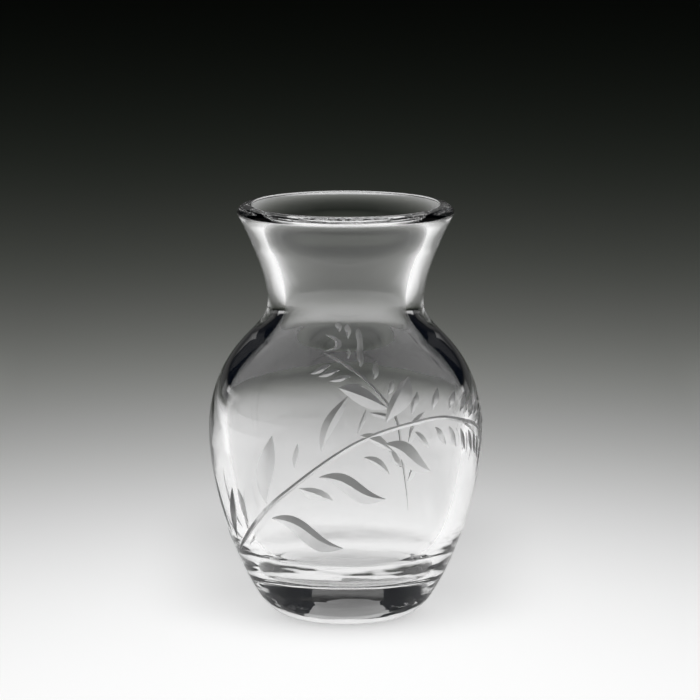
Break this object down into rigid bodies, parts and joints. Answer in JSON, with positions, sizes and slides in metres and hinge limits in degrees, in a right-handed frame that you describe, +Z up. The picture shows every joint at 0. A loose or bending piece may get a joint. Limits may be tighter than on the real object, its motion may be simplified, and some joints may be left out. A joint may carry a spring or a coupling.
{
  "type": "posy vase",
  "caption": "Small clear crystal vase with a round belly, narrow waist, flared mouth and wheel-cut leaf sprays, for holding cut flowers.",
  "frame": {"origin": "centre of the foot, on the surface that the vase stands on", "axes": "+Z up along the axis of the vase, -Y towards the viewer who faces the main leaf spray, +X to that viewer's right"},
  "size_m": [0.0758, 0.0758, 0.115],
  "materials": {
    "crystal": "clear polished crystal with satin wheel-cut facets in the leaf sprays"
  },
  "bodies": {
    "root": {"vase_body": "crystal"}
  },
  "joints": []
}
